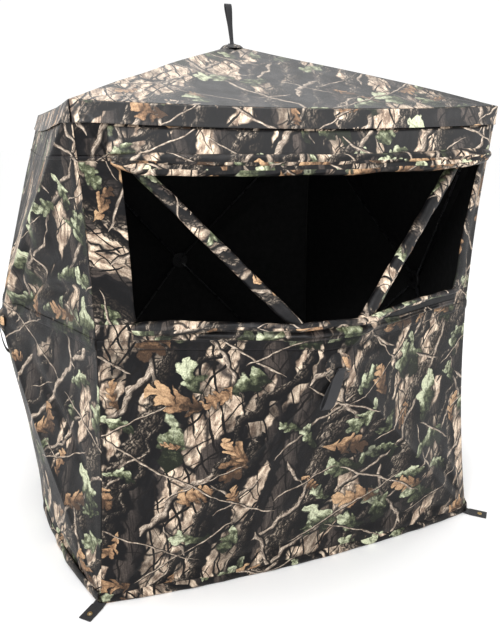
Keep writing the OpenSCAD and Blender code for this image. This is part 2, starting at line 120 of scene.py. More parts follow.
# node helpers: most return the new node's output, cells and group all of its outputs
class Tree:
    def __init__(self, tree):
        self.tree = tree

    def node(self, kind, **settings):
        made = self.tree.nodes.new(kind)
        for key, value in settings.items():
            setattr(made, key, value)
        return made

    def plug(self, source, socket):
        if isinstance(source, bpy.types.NodeSocket):
            self.tree.links.new(source, socket)
        else:
            socket.default_value = source

    def math(self, operation, a, b=0.0, c=0.0, clamp=False):
        made = self.node("ShaderNodeMath", operation=operation, use_clamp=clamp)
        for value, socket in zip((a, b, c), made.inputs):
            self.plug(value, socket)
        return made.outputs[0]

    def plus(self, a, b, clamp=False):
        return self.math("ADD", a, b, clamp=clamp)

    def minus(self, a, b):
        return self.math("SUBTRACT", a, b)

    def times(self, a, b):
        return self.math("MULTIPLY", a, b)

    def over(self, a, b):
        return self.math("DIVIDE", a, b)

    def vector(self, operation, a, b=(0, 0, 0), scale=None):
        made = self.node("ShaderNodeVectorMath", operation=operation)
        self.plug(a, made.inputs[0])
        if operation == "SCALE":
            self.plug(scale, made.inputs["Scale"])
        else:
            self.plug(b, made.inputs[1])
        return made.outputs["Value" if operation == "LENGTH" else "Vector"]

    def split(self, vector):
        made = self.node("ShaderNodeSeparateXYZ")
        self.plug(vector, made.inputs[0])
        return made.outputs[0], made.outputs[1], made.outputs[2]

    def join(self, x, y, z=0.0):
        made = self.node("ShaderNodeCombineXYZ")
        for value, socket in zip((x, y, z), made.inputs):
            self.plug(value, socket)
        return made.outputs[0]

    def stretch(self, vector, scale, turn=0.0):
        made = self.node("ShaderNodeMapping")
        self.plug(vector, made.inputs["Vector"])
        made.inputs["Scale"].default_value = scale
        made.inputs["Rotation"].default_value = (0, 0, math.radians(turn))
        return made.outputs[0]

    def lean(self, vector, turn):
        return self.stretch(vector, (1, 1, 1), turn)

    def noise(self, vector, scale, detail=2.0, rough=0.5, out="Fac", solid=False):
        made = self.node("ShaderNodeTexNoise", noise_dimensions="3D" if solid else "2D")
        self.plug(vector, made.inputs["Vector"])
        made.inputs["Scale"].default_value = scale
        made.inputs["Detail"].default_value = detail
        made.inputs["Roughness"].default_value = rough
        return made.outputs[out]

    def sway(self, vector, scale, detail, amount):
        # a noise that wanders about zero, to bend a place with
        wander = self.vector("SUBTRACT", self.noise(vector, scale, detail, out="Color"), (0.5, 0.5, 0.5))
        return self.vector("SCALE", wander, scale=amount)

    def cells(self, vector, scale, feature="F1", spread=1.0):
        made = self.node("ShaderNodeTexVoronoi", voronoi_dimensions="2D", feature=feature)
        self.plug(vector, made.inputs["Vector"])
        self.plug(scale, made.inputs["Scale"])
        made.inputs["Randomness"].default_value = spread
        return made.outputs

    def hash(self, value):
        made = self.node("ShaderNodeTexWhiteNoise", noise_dimensions="1D")
        self.plug(value, made.inputs["W"])
        return made.outputs["Value"]

    def ramp(self, value, stops):
        made = self.node("ShaderNodeValToRGB")
        points = made.color_ramp.elements
        while len(points) < len(stops):
            points.new(0.5)
        for point, (place, colour) in zip(points, stops):
            point.position = place
            point.color = (*colour, 1)
        self.plug(value, made.inputs[0])
        return made.outputs["Color"]

    def span(self, value, low, high, outLow=0.0, outHigh=1.0):
        made = self.node("ShaderNodeMapRange", clamp=True)
        self.plug(value, made.inputs["Value"])
        for key, number in (("From Min", low), ("From Max", high), ("To Min", outLow), ("To Max", outHigh)):
            self.plug(number, made.inputs[key])
        return made.outputs[0]

    def mix(self, factor, a, b, blend="MIX"):
        made = self.node("ShaderNodeMix", data_type="RGBA", blend_type=blend)
        self.plug(factor, made.inputs["Factor"])
        for value, socket in ((a, made.inputs[6]), (b, made.inputs[7])):  # a colour, or the name of an ink
            value = inks[value] if isinstance(value, str) else value
            self.plug((*value, 1) if isinstance(value, tuple) else value, socket)
        return made.outputs[2]

    def bump(self, height, strength, distance, skin):
        made = self.node("ShaderNodeBump")
        made.inputs["Strength"].default_value = strength
        made.inputs["Distance"].default_value = distance
        self.plug(height, made.inputs["Height"])
        self.plug(made.outputs[0], skin.inputs["Normal"])

    def group(self, tree, *values):
        # values in the order of the group's inputs
        made = self.node("ShaderNodeGroup", node_tree=tree)
        for value, socket in zip(values, made.inputs):
            self.plug(value, socket)
        return made.outputs


def newGroup(name, inputs, outputs):
    # sockets by name, all of them numbers but Vector and Color
    tree = bpy.data.node_groups.new(name, "ShaderNodeTree")
    for way, labels in (("INPUT", inputs), ("OUTPUT", outputs)):
        for label in labels.split():
            kind = label if label in ("Vector", "Color") else "Float"
            tree.interface.new_socket(name=label, in_out=way, socket_type="NodeSocket" + kind)
    t = Tree(tree)
    return tree, t, t.node("NodeGroupInput").outputs, t.node("NodeGroupOutput").inputs


def linear(*srgb):
    # screen colour, 0 to 255, as linear light
    shares = [c / 255 for c in srgb]
    return tuple(c / 12.92 if c <= 0.04045 else ((c + 0.055) / 1.055) ** 2.4 for c in shares)


inks = {
    "night": linear(20, 20, 25), "shade": linear(46, 43, 45),
    "gap": linear(222, 200, 172), "gapDim": linear(138, 114, 92),
    "stem": linear(104, 92, 84), "stemDim": linear(58, 51, 47),
    "bark": linear(104, 90, 76), "barkPale": linear(200, 182, 160), "barkDark": linear(30, 27, 27),
    "branch": linear(212, 194, 172), "branchDim": linear(92, 74, 60), "twig": linear(34, 29, 28),
    "orangeDark": linear(86, 62, 36), "orange": linear(150, 112, 60), "ochre": linear(190, 152, 96),
    "greenDark": linear(44, 50, 36), "green": linear(106, 112, 80), "sage": linear(194, 198, 164),
}
forestLook = {
    # turn, spacing, width, seed, share of the print, plates of bark to the metre
    "trunks": ((27, 0.30, 0.056, 3.0, 0.8, 70), (34, 0.21, 0.022, 8.0, 0.62, 110)),
    # turn, spacing, seed
    "sprigs": ((-8, 0.052, 83.0), (44, 0.06, 91.0)),
    # turn, spacing, width, seed, share
    "branches": ((42, 0.18, 0.013, 23.0, 0.5), (-28, 0.24, 0.010, 31.0, 0.42)),
    "thinBranches": ((-62, 0.26, 0.006, 47.0, 0.4), (64, 0.24, 0.0045, 59.0, 0.42)),
    # shift, leaves to the metre, length, width, lobes, depth of cut, share
    "greenLeaves": ((0.0, 5.6, 0.080, 0.044, 3.0, 0.55, 0.42), (3.7, 6.6, 0.062, 0.036, 3.0, 0.6, 0.36)),
    "brownLeaves": ((7.1, 4.6, 0.078, 0.040, 4.0, 0.80, 0.36), (12.3, 5.8, 0.050, 0.026, 4.0, 0.78, 0.26)),
    "leafScatter": 0.8, "leafSizes": (0.65, 0.7), "leafTurn": 6.283, "lobeWave": 1.5708,
}


def buildLeaves():
    # one leaf to each cell of a scatter: a lobed outline along the leaf's own axis
    tree, t, given, out = newGroup("scatteredLeaves", "Vector Scale Length Width Lobes Cut Share",
            "Mask Halo Rib Tone Lit")
    cell = t.cells(given["Vector"], given["Scale"], spread=forestLook["leafScatter"])
    turnDraw, shareDraw, sizeDraw = t.split(cell["Color"])
    away = t.vector("SUBTRACT", given["Vector"], cell["Position"])
    acrossPrint, upPrint, _ = t.split(away)
    slow, quick = t.sway(given["Vector"], 14, 1, 0.05), t.sway(given["Vector"], 55, 2, 0.014)
    away = t.vector("ADD", away, t.vector("ADD", slow, quick))  # ragged edges
    turn = t.node("ShaderNodeVectorRotate", rotation_type="Z_AXIS")
    t.plug(away, turn.inputs["Vector"])
    t.plug(t.times(turnDraw, forestLook["leafTurn"]), turn.inputs["Angle"])
    x, y, _ = t.split(turn.outputs[0])
    smallest, spread = forestLook["leafSizes"]
    size = t.plus(smallest, t.times(sizeDraw, spread))
    x = t.over(x, t.times(given["Length"], size))
    bend = t.times(t.times(x, x), 0.3)
    y = t.plus(t.over(y, t.times(given["Width"], size)), bend)
    across = t.math("ABSOLUTE", y)
    lean = t.minus(x, t.times(across, 0.5))
    wave = t.math("ABSOLUTE", t.math("SINE", t.times(lean, t.times(given["Lobes"], forestLook["lobeWave"]))))
    outline = t.math("SQRT", t.math("MAXIMUM", t.minus(1.0, t.times(x, x)), 0.0))
    notch = t.minus(1.0, t.times(given["Cut"], t.minus(1.0, wave)))
    inside = t.minus(t.times(t.times(outline, t.span(x, -1.0, 0.9, 0.5, 1.2)), notch), across)
    present = t.math("LESS_THAN", shareDraw, given["Share"])
    t.plug(t.times(t.span(inside, 0.0, 0.09), present), out["Mask"])
    t.plug(t.times(t.span(inside, -0.55, 0.0), present), out["Halo"])
    midrib = t.span(across, 0.02, 0.10, 1.0, 0.0)
    veins = t.math("PINGPONG", t.times(lean, given["Lobes"]), 0.5)
    t.plug(t.math("MAXIMUM", midrib, t.span(veins, 0.38, 0.5, 0.0, 0.5)), out["Rib"])
    t.plug(t.math("FRACT", t.times(sizeDraw, 7.31)), out["Tone"])
    curl = t.times(t.minus(wave, 0.5), 0.35)
    light = t.minus(t.times(upPrint, 9.0), t.times(acrossPrint, 6.0))  # brighter at the upper left
    t.plug(t.plus(t.plus(0.45, curl), t.plus(light, t.times(y, 0.35)), clamp=True), out["Lit"])
    return tree


def buildLimbs():
    # leaning trunks or branches: a wavering ladder of stripes, each with its own width and broken ends
    tree, t, given, out = newGroup("leaningLimbs", "Vector Spacing Width Waver Share Length Seed",
            "Mask Round Side")
    x, y, _ = t.split(given["Vector"])

    def waver(acrossScale, upScale, detail, amount):
        place = t.join(t.plus(t.times(x, acrossScale), given["Seed"]), t.times(y, upScale))
        return t.times(t.minus(t.noise(place, 1.0, detail), 0.5), amount)

    drift = t.plus(waver(0.9, 2.2, 1.0, 2.0), waver(3.0, 9.0, 2.0, 0.9))
    lane = t.over(t.plus(x, t.times(drift, given["Waver"])), given["Spacing"])
    key = t.plus(t.math("FLOOR", lane), given["Seed"])
    own = t.hash(key)
    other = t.hash(t.plus(key, 41.7))
    off = t.times(t.minus(t.math("FRACT", lane), t.span(other, 0.0, 1.0, 0.35, 0.65)), given["Spacing"])
    ends = t.noise(t.join(t.times(key, 3.7), t.over(y, given["Length"])), 1.0, 0.0)
    cut = t.minus(0.70, t.times(given["Share"], 0.5))
    alive = t.span(ends, cut, t.plus(cut, 0.07))
    uneven = t.span(t.noise(t.join(key, t.times(y, 26.0)), 1.0, 1.0), 0.2, 0.8, 0.65, 1.35)
    width = t.times(t.times(given["Width"], t.span(own, 0.0, 1.0, 0.55, 1.3)), alive)
    across = t.over(off, t.math("MAXIMUM", t.times(width, uneven), 0.0005))
    depth = t.minus(1.0, t.math("ABSOLUTE", across))
    t.plug(t.times(t.span(depth, 0.0, 0.16), t.math("GREATER_THAN", alive, 0.15)), out["Mask"])
    t.plug(t.span(depth, 0.0, 0.8), out["Round"])
    t.plug(t.span(across, -1.0, 1.0), out["Side"])
    return tree


leaves = buildLeaves()
limbs = buildLimbs()


def farWood(t, flat):
    # out-of-focus stems, tan gaps between them and a tangle of fine dark twigs
    lean = t.lean(flat, 20)
    streaks = t.noise(t.stretch(lean, (46, 7, 1)), 1.0, 4, 0.7)
    colour = t.mix(t.span(streaks, 0.35, 0.72), "night", "shade")
    stems = t.group(limbs, t.lean(flat, 9), 0.12, 0.036, 0.05, 0.7, 0.5, 11.0)
    grain = t.noise(t.stretch(flat, (120, 10, 1), 9), 1.0, 3, 0.75)
    stemTone = t.mix(t.span(grain, 0.3, 0.7), "stemDim", "stem")
    colour = t.mix(t.times(stems["Mask"], t.span(stems["Side"], 0.95, 0.4, 0.25, 0.95)), colour, stemTone)
    place = t.stretch(t.vector("ADD", lean, t.sway(flat, 11, 3, 0.07)), (12.5, 4.6, 1))
    draw, _, _ = t.split(t.cells(place, 1.0)["Color"])
    rim = t.cells(place, 1.0, "DISTANCE_TO_EDGE")["Distance"]
    haze = t.noise(t.stretch(lean, (50, 18, 1)), 1.0, 4, 0.65)
    sky = t.mix(t.span(haze, 0.35, 0.65), "gapDim", "gap")
    colour = t.mix(t.times(t.math("LESS_THAN", draw, 0.48), t.span(rim, 0.02, 0.09)), colour, sky)
    swirl = t.vector("SCALE", t.noise(flat, 8, 1, out="Color"), scale=0.1)
    web = t.cells(t.stretch(t.vector("ADD", flat, swirl), (1, 0.45, 1), -16), 15, "DISTANCE_TO_EDGE")
    colour = t.mix(t.span(web["Distance"], 0.010, 0.026, 0.85, 0.0), colour, "twig")
    for turn, spacing, seed in forestLook["sprigs"]:
        sprig = t.group(limbs, t.lean(flat, turn), spacing, 0.0034, 0.035, 0.62, 0.12, seed)
        colour = t.mix(sprig["Mask"], colour, "twig")
    return colour


def nearTrunks(t, flat, colour):
    # leaning trunks with cracked bark, lit on the left and lost in shadow on the right
    for turn, spacing, width, seed, share, plates in forestLook["trunks"]:
        place = t.lean(flat, turn)
        trunk = t.group(limbs, place, spacing, width, 0.12, share, 1.1, seed)
        ruffle = t.vector("SCALE", t.noise(flat, 34, 2, out="Color"), scale=2.6)
        barkPlace = t.vector("ADD", t.stretch(place, (plates, plates * 0.36, 1)), ruffle)
        cracks = t.cells(barkPlace, 1.0, "DISTANCE_TO_EDGE")
        fleck = t.span(t.noise(t.stretch(place, (160, 60, 1)), 1.0, 4, 0.7), 0.35, 0.7)
        plate = t.times(t.span(cracks["Distance"], 0.03, 0.32), fleck)
        bark = t.mix(plate, "barkDark", "bark")
        bark = t.mix(t.times(t.span(trunk["Side"], 0.08, 0.46, 1.0, 0.0), plate), bark, "barkPale")
        bark = t.mix(t.span(trunk["Side"], 0.42, 0.72, 0.0, 0.95), bark, "night")
        bark = t.mix(t.span(trunk["Round"], 0.16, 0.0), bark, "night")
        colour = t.mix(trunk["Mask"], colour, bark)
    return colour


def nearBranches(t, flat, colour, waver, sets):
    for turn, spacing, width, seed, share in sets:
        place = t.lean(flat, turn)
        limb = t.group(limbs, place, spacing, width, waver, share, 0.28, seed)
        grain = t.span(t.noise(t.stretch(place, (150, 40, 1)), 1.0, 4, 0.75), 0.32, 0.68)
        wood = t.mix(grain, "branchDim", "branch")
        wood = t.mix(t.span(limb["Side"], 0.38, 0.72), wood, "twig")
        colour = t.mix(limb["Mask"], colour, wood)
    return colour


def foliage(t, flat, colour, sets, dark, middle, light):
    for shift, scale, length, wide, lobes, cut, share in sets:
        place = t.vector("ADD", flat, (shift, shift * 0.7, 0))
        leaf = t.group(leaves, place, scale, length, wide, lobes, cut, share)
        colour = t.mix(t.times(leaf["Halo"], 0.7), colour, "night")
        blotch = t.span(t.noise(flat, 62, 4, 0.7), 0.3, 0.7, -0.28, 0.28)
        lit = t.plus(t.plus(leaf["Lit"], blotch), t.span(leaf["Tone"], 0.0, 1.0, -0.25, 0.12), clamp=True)
        tint = t.ramp(lit, [(0.12, inks[dark]), (0.55, inks[middle]), (1.0, inks[light])])
        tint = t.mix(t.times(leaf["Rib"], 0.35), tint, dark)
        colour = t.mix(leaf["Mask"], colour, tint)
    return colour


def buildForest():
    tree, t, given, out = newGroup("forestPrint", "Vector", "Color")
    flat = t.vector("MULTIPLY", given["Vector"], (1, 1, 0))
    colour = nearTrunks(t, flat, farWood(t, flat))
    gloom = t.span(t.noise(t.stretch(flat, (4.5, 2.6, 1), 24), 1.0, 3, 0.6), 0.54, 0.68, 0.0, 0.5)
    colour = t.mix(gloom, colour, "night")
    colour = nearBranches(t, flat, colour, 0.08, forestLook["branches"])
    colour = foliage(t, flat, colour, forestLook["greenLeaves"], "greenDark", "green", "sage")
    colour = foliage(t, flat, colour, forestLook["brownLeaves"], "orangeDark", "orange", "ochre")
    colour = nearBranches(t, flat, colour, 0.04, forestLook["thinBranches"])
    grit = t.span(t.noise(flat, 190, 3, 0.7), 0.3, 0.7, 0.72, 1.18)
    t.plug(t.mix(1.0, colour, t.join(grit, grit, grit), "MULTIPLY"), out["Color"])
    return tree


forest = buildForest()


def newMaterial(name):
    material = bpy.data.materials.new(name)
    material.use_nodes = True
    t = Tree(material.node_tree)
    return material, t, material.node_tree.nodes["Principled BSDF"]


cloth = {
    "gamma": 1.32, "saturation": 0.74, "value": 1.28, "rough": 0.46, "sheen": 0.17, "weave": 5200,
    "stitches": 160, "stitchShare": 0.68, "bump": 0.12, "bumpDepth": 0.004,
}


def camoMaterial(name, dim=cloth["value"], rough=cloth["rough"], shift=(0, 0, 0), stitchRows=(),
        sheen=cloth["sheen"]):
    material, t, skin = newMaterial(name)
    uv = t.node("ShaderNodeUVMap", uv_map="UVMap").outputs[0]
    deepen = t.node("ShaderNodeGamma")
    t.plug(t.group(forest, t.vector("ADD", uv, shift))["Color"], deepen.inputs["Color"])
    deepen.inputs["Gamma"].default_value = cloth["gamma"]
    faded = t.node("ShaderNodeHueSaturation")
    t.plug(deepen.outputs[0], faded.inputs["Color"])
    faded.inputs["Saturation"].default_value = cloth["saturation"]
    faded.inputs["Value"].default_value = dim
    colour = faded.outputs[0]
    u, v, _ = t.split(uv)
    warp, weft = (t.math("SINE", t.times(side, cloth["weave"])) for side in (u, v))
    height = t.plus(t.times(t.times(warp, weft), 0.3), t.noise(uv, 14, 3))
    for row in stitchRows:
        away = t.math("ABSOLUTE", t.minus(v, row))
        dash = t.math("LESS_THAN", t.math("FRACT", t.times(u, cloth["stitches"])), cloth["stitchShare"])
        colour = t.mix(t.times(t.span(away, 0.0006, 0.0012, 1.0, 0.0), dash), colour, "twig")
        # a soft dark band either side of each row is painted shade, of the groove the stitching pulls into the cloth
        colour = t.mix(t.span(away, 0.001, 0.0035, 0.45, 0.0), colour, "night")
    t.plug(colour, skin.inputs["Base Color"])
    t.plug(t.span(t.noise(uv, 9, 3), 0.3, 0.7, rough - 0.05, rough + 0.08), skin.inputs["Roughness"])
    skin.inputs["Specular IOR Level"].default_value = sheen
    t.bump(height, cloth["bump"], cloth["bumpDepth"], skin)
    return material


def plainMaterial(name, colour, rough, metal=0.0, grain=400, bumpy=0.1, spread=0.25):
    material, t, skin = newMaterial(name)
    place = t.node("ShaderNodeTexCoord").outputs["Object"]
    fleck = t.noise(place, grain, 3, solid=True)
    paler = tuple(min(1, v * 2.2 + 0.02) for v in colour)
    t.plug(t.mix(t.times(fleck, spread), colour, paler), skin.inputs["Base Color"])
    worn = t.noise(place, 35, 3, solid=True)
    t.plug(t.span(worn, 0.3, 0.7, rough - 0.07, rough + 0.07), skin.inputs["Roughness"])
    skin.inputs["Metallic"].default_value = metal
    t.bump(fleck, bumpy, 0.001, skin)
    return material


camo = camoMaterial("camoCloth")
roofCamo = camoMaterial("roofCamo", dim=1.1, rough=0.4, sheen=0.4)
innerBlack = plainMaterial("blackBacking", (0.004, 0.004, 0.0045), 0.75, grain=900)
blackPlastic = plainMaterial("blackNylon", (0.012, 0.012, 0.013), 0.45)
webbingBlack = plainMaterial("blackWebbing", (0.010, 0.010, 0.012), 0.6, grain=700)
steel = plainMaterial("blackenedSteel", (0.03, 0.03, 0.032), 0.4, 1.0)
zinc = plainMaterial("zincSlider", (0.4, 0.4, 0.41), 0.35, 1.0)
poleBlack = plainMaterial("poleRod", (0.02, 0.021, 0.023), 0.3)
piping = plainMaterial("seamPiping", (0.015, 0.015, 0.014), 0.6)
print("materials made")


def unit(x):
    return np.clip(x, 0, 1)


def packed(*parts):
    return np.stack(parts, -1)


def grid(first, second):
    return np.meshgrid(first, second, indexing="ij")


def bell(x, width):
    return np.exp(-(x / width) ** 2)


# cloth surface of a wall or the roof: the taut cone from each hub's peak to the panel's bowed edge
def bowAt(z):
    inset = shelter["cornerBow"] * math.sqrt(2)
    radius = (hubH**2 + inset**2) / (2 * inset)
    return (np.sqrt(np.maximum(radius**2 - (z - hubH) ** 2, 0)) - (radius - inset)) / math.sqrt(2)


def conePoint(u, v, peak, edgeOf):
    r = np.maximum(np.abs(u), np.abs(v))
    safe = np.maximum(r, 1e-9)
    edge = edgeOf(u / safe, v / safe)
    point = [peak[i] + r * (edge[i] - peak[i]) for i in range(3)]
    lesser = np.minimum(np.abs(u), np.abs(v)) / safe
    swell = np.sin(np.pi * unit(r))
    lift = shelter["poleRidge"] * swell * lesser**6 - shelter["facetSag"] * swell * (1 - lesser**2)
    return point, r, lift


def wallEdge(u, v, k=0):
    side = np.abs(u) >= np.abs(v)
    arc = 1 - u * u
    z = hubH * (1 + v)
    b = bowAt(z)
    top = v > 0
    hemBow = shelter["sideHemBow" if k % 2 else "hemBow"]
    along = np.where(side, u * (half - b), u * half)
    out = np.where(side, half - b, half + np.where(top, shelter["eaveBow"], hemBow) * arc)
    up = np.where(side, z, np.where(top, eaveH - shelter["eaveSag"] * arc, 0))
    return along, out, up


def wallPoint(u, v, lift=0.0, k=0):
    # along the wall, out of the wall, up
    peak = (0, wallPeak, hubH)
    (along, out, up), r, bulge = conePoint(u, v, peak, lambda a, b: wallEdge(a, b, k))
    out = np.minimum(out + bulge, wallPeak - shelter["blunt"])
    return packed(along, out + lift, up)


def roofEdge(u, v):
    side = np.abs(u) >= np.abs(v)
    arc = 1 - np.where(side, v, u) ** 2
    grow = half + shelter["eaveBow"] * arc
    up = eaveH - shelter["eaveSag"] * arc
    return np.where(side, u * grow, u * half), np.where(side, v * half, v * grow), up


def turned(points, k):
    # a front-wall frame point (along, out, up) on wall k, or the front one with out as -Y
    x, y, z = points[..., 0], -points[..., 1], points[..., 2]
    for _ in range(k):
        x, y = -y, x
    return packed(x, y, z)


def sheetMesh(name, points, uvs, material, keep=None, thickness=None, inner=None, flip=False, creased=None):
    # creased is the grid's (us, vs): its cells are then split along the cone's diagonals
    nu, nv = points.shape[:2]
    ids = np.arange(nu * nv).reshape(nu, nv)
    quads = packed(ids[:-1, :-1], ids[1:, :-1], ids[1:, 1:], ids[:-1, 1:])
    cells = np.ones(quads.shape[:2], bool) if keep is None else keep
    if creased is None:
        faces = quads[cells]
    else:
        um, vm = [(line[:-1] + line[1:]) / 2 for line in creased]
        rising = np.outer(um, vm) > 0
        faces = np.concatenate([quads[cells & rising][:, corners] for corners in ([0, 1, 2], [0, 2, 3])]
                + [quads[cells & ~rising][:, corners] for corners in ([0, 1, 3], [1, 2, 3])])
    if flip:
        faces = faces[:, ::-1]
    used, fresh = np.unique(faces, return_inverse=True)
    mesh = bpy.data.meshes.new(name)
    mesh.from_pydata(points.reshape(-1, 3)[used].tolist(), [], fresh.reshape(faces.shape).tolist())
    layer = mesh.uv_layers.new(name="UVMap")
    loopVerts = np.empty(len(mesh.loops), dtype=np.int32)
    mesh.loops.foreach_get("vertex_index", loopVerts)
    layer.data.foreach_set("uv", uvs.reshape(-1, 2)[used][loopVerts].astype(np.float32).ravel())
    mesh.shade_smooth()
    obj = bpy.data.objects.new(name, mesh)
    bpy.context.collection.objects.link(obj)
    mesh.materials.append(material)
    if thickness:
        mesh.materials.append(inner or material)
        solid = obj.modifiers.new("thickness", "SOLIDIFY")
        solid.thickness = thickness
        solid.offset = -1
        solid.material_offset = 1 if inner else 0
        solid.material_offset_rim = 0
        bpy.context.view_layer.objects.active = obj
        bpy.ops.object.modifier_apply(modifier=solid.name)
    return obj


def blendToHub(obj, k):
    # the panel's cone turns inside out as its hub pops through: each point follows by its height on the cone
    if k < 4:
        start, end = (turned(np.array([0, out, hubH]), k) for out in (half, wallPeak))
    else:
        start, end = (0, 0, eaveH), (0, 0, roofPeak)
    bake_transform(obj, "root", panelNames[k] + "_hub_body", start=tuple(start), end=tuple(end))
    mesh = obj.data
    places = np.empty(len(mesh.vertices) * 3, dtype=np.float32)
    mesh.vertices.foreach_get("co", places)
    x, y, z = places.reshape(-1, 3).T
    if k < 4:
        for _ in range(k):
            x, y = y, -x
        r = np.maximum(np.abs(x) / (half - bowAt(z)), np.abs((z - hubH) / hubH))
    else:
        r = np.maximum(np.abs(x), np.abs(y)) / half
    mesh.attributes["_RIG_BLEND"].data.foreach_set("value", unit(1 - r).astype(np.float32))


def steps(low, high, count):
    return np.linspace(low, high, count + 1)


folding = {
    # heights of the folds in metres, and where they lie as shares of the panel's half width
    "fan": 0.0042, "fanAt": 0.2, "corner": 0.0045, "cornerAt": 0.24, "spread": 0.2, "swell": 0.005,
    "swellWaves": 9, "edgeFade": 16, "phase": 6.28,
}


def smoothNoise(points, scale, seed):
    # a few crossed sine waves: a cheap, repeatable swell of the cloth
    total = np.zeros(points.shape[:-1])
    picker = np.random.RandomState(seed)
    for _ in range(folding["swellWaves"]):
        direction = picker.normal(size=points.shape[-1])
        waves = points @ direction * scale * picker.uniform(0.6, 1.6)
        total += np.sin(waves + picker.uniform(0, folding["phase"]))
    return total / folding["swellWaves"]


def crease(u, v, start, end, width, depth):
    # one soft fold between two places on the panel, deepest in its middle, with a low ridge beside it
    du, dv = end[0] - start[0], end[1] - start[1]
    length = math.hypot(du, dv)
    along = ((u - start[0]) * du + (v - start[1]) * dv) / length**2
    across = ((u - start[0]) * dv - (v - start[1]) * du) / length
    fade = unit(np.sin(np.pi * unit(along))) ** 0.7
    ridge = 0.6 * depth * fade * bell(across - 2.1 * width, 1.4 * width)
    return -depth * fade * bell(across, width) + ridge


def wrinkles(u, v, seed, folds=()):
    # tension folds that fan from the hub and from the corners, a slow swell and the panel's own folds
    picker = np.random.RandomState(seed)
    angle = np.arctan2(v, u)
    r = np.maximum(np.abs(u), np.abs(v))
    phase, spread = folding["phase"], folding["spread"]
    fan = sum(np.sin(n * angle + picker.uniform(0, phase)) * picker.uniform(0.4, 1.0) for n in (5, 8, 13, 19)) / 4
    lift = folding["fan"] * fan * bell(r - folding["fanAt"], spread)
    for su, sv in ((-1, -1), (-1, 1), (1, -1), (1, 1)):
        du, dv = 1 - su * u, 1 - sv * v
        distance = np.hypot(du, dv)
        turn = np.arctan2(dv, du)
        corner = sum(np.sin(n * turn * 2 + picker.uniform(0, phase)) for n in (4, 7, 11)) / 3
        near = bell(distance - folding["cornerAt"], spread) * unit(distance * 9)
        lift += folding["corner"] * corner * near
    lift += smoothNoise(packed(u, v), 7, seed + 5) * folding["swell"]
    lift += sum(crease(u, v, *fold) for fold in folds)
    return lift * unit((1 - r) * folding["edgeFade"])


# each wall's own folds: start, end, width as shares of its half size, and depth
ownFolds = {
    "front": [((-0.99, 0.97), (-0.76, 0.74), 0.022, 0.010), ((-0.35, 0.09), (0.45, 0.06), 0.026, 0.010),
        ((-0.1, -0.12), (-0.5, -0.55), 0.035, 0.009), ((-0.85, -0.93), (0.2, -0.86), 0.026, 0.010),
        ((0.25, -0.86), (0.92, -0.92), 0.024, 0.010), ((0.95, -0.9), (0.72, -0.62), 0.026, 0.009)],
    "right": [((0.2, 0.2), (0.6, 0.65), 0.035, 0.009), ((-0.8, -0.9), (0.5, -0.84), 0.03, 0.009)],
    "back": [((0.15, -0.2), (0.7, -0.75), 0.035, 0.009), ((-0.6, 0.4), (-0.2, 0.1), 0.03, 0.009)],
    "left": [((0.72, 0.42), (0.15, 0.06), 0.034, 0.024), ((0.95, 0.30), (0.45, 0.22), 0.028, 0.018),
        ((0.55, 0.58), (0.25, 0.15), 0.034, 0.020), ((0.9, -0.5), (0.3, -0.1), 0.035, 0.012),
        ((0.9, -0.95), (0.1, -0.88), 0.03, 0.010)],
}
# how far the slack jambs of the window are pulled wide, in metres, and where
jambPull = {"right": 0.030, "rightTop": 0.018, "rightAt": 0.84, "left": 0.016, "leftAt": -0.82, "spread": 0.1}


def skinPoint(u, v, lift=0.0, k=0):
    # a place on the wrinkled panel
    points = wallPoint(u, v, lift + wrinkles(u, v, 20 + k, ownFolds[wallNames[k]]), k)
    if k == 0:
        near = unit((v - 0.05) * 5) * unit((1 - v) * 6)
        right = jambPull["right"] + jambPull["rightTop"] * unit((v - 0.17) / 0.63)
        points[..., 0] += right * bell(u - jambPull["rightAt"], jambPull["spread"]) * near
        points[..., 0] -= jambPull["left"] * bell(u - jambPull["leftAt"], jambPull["spread"]) * near
    return points


def cutTo(line, value):
    # slide the nearest grid line onto an edge
    line[np.argmin(abs(line - value))] = value


def vOf(z):
    return (z - hubH) / hubH


def clothPiece(name, k, us, vs, node, keep=None, turnPrint=False):
    u, v = grid(us, vs)
    along, _, up = np.moveaxis(wallPoint(u, v, k=k), -1, 0)
    uvs = np.stack([up + 3.1, 0.4 - along] if turnPrint else [along + shelter["printStep"] * k, up], -1)
    obj = sheetMesh(name, turned(skinPoint(u, v, 0, k), k), uvs, camo, keep, shelter["clothT"], innerBlack,
        creased=(us, vs))
    finish(obj, k, "camo_cloth", node)


def finish(obj, k, slot, *nodes):
    blendToHub(obj, k)
    if nodes:
        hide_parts(*nodes)


def walls():
    us = steps(-1, 1, shelter["steps"])
    vs = us.copy()
    for k in (1, 2, 3):
        clothPiece(wallNames[k] + "Panel", k, us, vs, wallNames[k] + "_wall")
    sill, head, jamb = vOf(window["sill"]), vOf(window["head"]), window["jamb"]
    for side in (-1, 1):
        cutTo(us, side * jamb)
    for level in (sill, head):
        cutTo(vs, level)
    um, vm = grid((us[:-1] + us[1:]) / 2, (vs[:-1] + vs[1:]) / 2)
    beside = (np.abs(um) > jamb) & (vm > sill) & (vm < head)
    clothPiece("frontLowerPanel", 0, us, vs, "front_lower_panel", vm < sill)
    clothPiece("frontTopPanel", 0, us, vs, "front_top_panel", vm > head)
    clothPiece("frontSidePanels", 0, us, vs,
        "front_side_panels", beside, turnPrint=True)


def roofPanel():
    us = steps(-1, 1, shelter["steps"])
    u, v = grid(us, us)
    (x, y, z), r, bulge = conePoint(u, v, (0, 0, roofPeak), roofEdge)
    z = np.minimum(z + bulge + wrinkles(u, v, 31) * 0.8, roofPeak - shelter["blunt"])
    obj = sheetMesh("roofPanel", packed(x, y, z), packed(x + 9.0, y), roofCamo,
        thickness=shelter["clothT"], inner=innerBlack, creased=(us, us))
    finish(obj, 4, "roof_cloth", "roof_panel")


walls()
roofPanel()
print("panels made")


